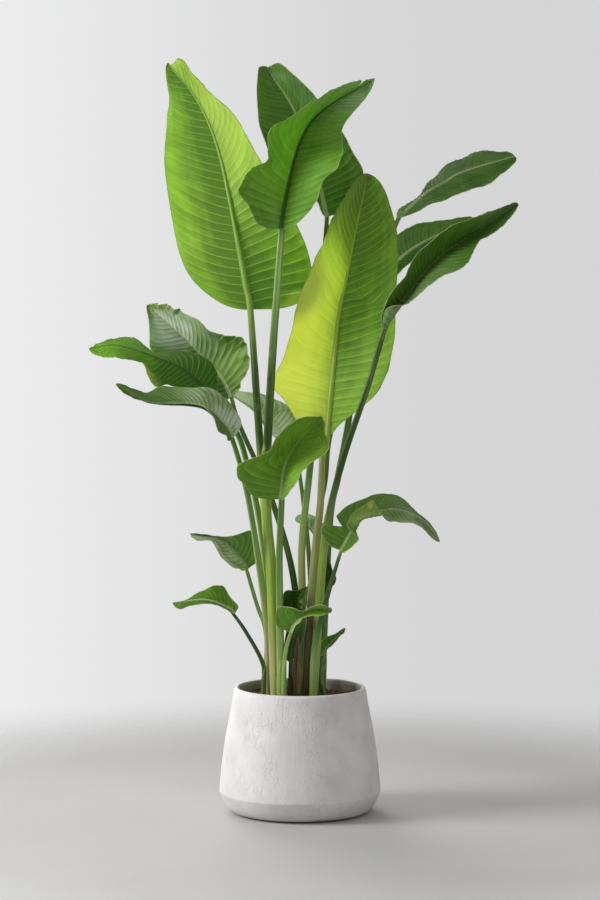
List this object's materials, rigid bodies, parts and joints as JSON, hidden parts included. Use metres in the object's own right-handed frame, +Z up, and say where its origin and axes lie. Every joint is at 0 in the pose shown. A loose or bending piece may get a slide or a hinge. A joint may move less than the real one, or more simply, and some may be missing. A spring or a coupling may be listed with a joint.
{
  "type": "potted bird of paradise plant",
  "caption": "Tall potted bird of paradise: large ribbed, waved leaves on long stalks that rise from soil in a round pale pot with a bevelled foot.",
  "frame": {"origin": "middle of the flat underside of the pot, on the floor", "axes": "+Z up along the pot's axis, front of the plant towards -Y, +X to the viewer's right"},
  "size_m": [0.9525, 0.5738, 1.6713],
  "materials": {
    "pot": "matte",
    "soil": "matte",
    "leaf_bright": "satin",
    "leaf_green": "satin",
    "leaf_dark": "satin",
    "dry_sheath": "matte"
  },
  "bodies": {
    "root": {"pot": "pot", "soil": "soil", "leaf_01": "leaf_bright", "leaf_02": "leaf_green", "leaf_03": "leaf_dark", "leaf_04": "leaf_bright", "leaf_05": "leaf_green", "leaf_06": "leaf_dark", "leaf_07": "leaf_dark", "leaf_08": "leaf_green", "leaf_09": "leaf_green", "leaf_10": "leaf_green", "leaf_11": "leaf_green", "leaf_12": "leaf_green", "leaf_13": "leaf_green", "leaf_14": "leaf_green", "leaf_15": "leaf_green", "leaf_16": "leaf_green", "leaf_17": "leaf_dark", "leaf_18": "leaf_dark", "leaf_19": "leaf_green", "leaf_20": "leaf_green", "leaf_21": "leaf_dark", "dry_sheath_1": "dry_sheath", "dry_sheath_2": "dry_sheath"}
  },
  "joints": []
}
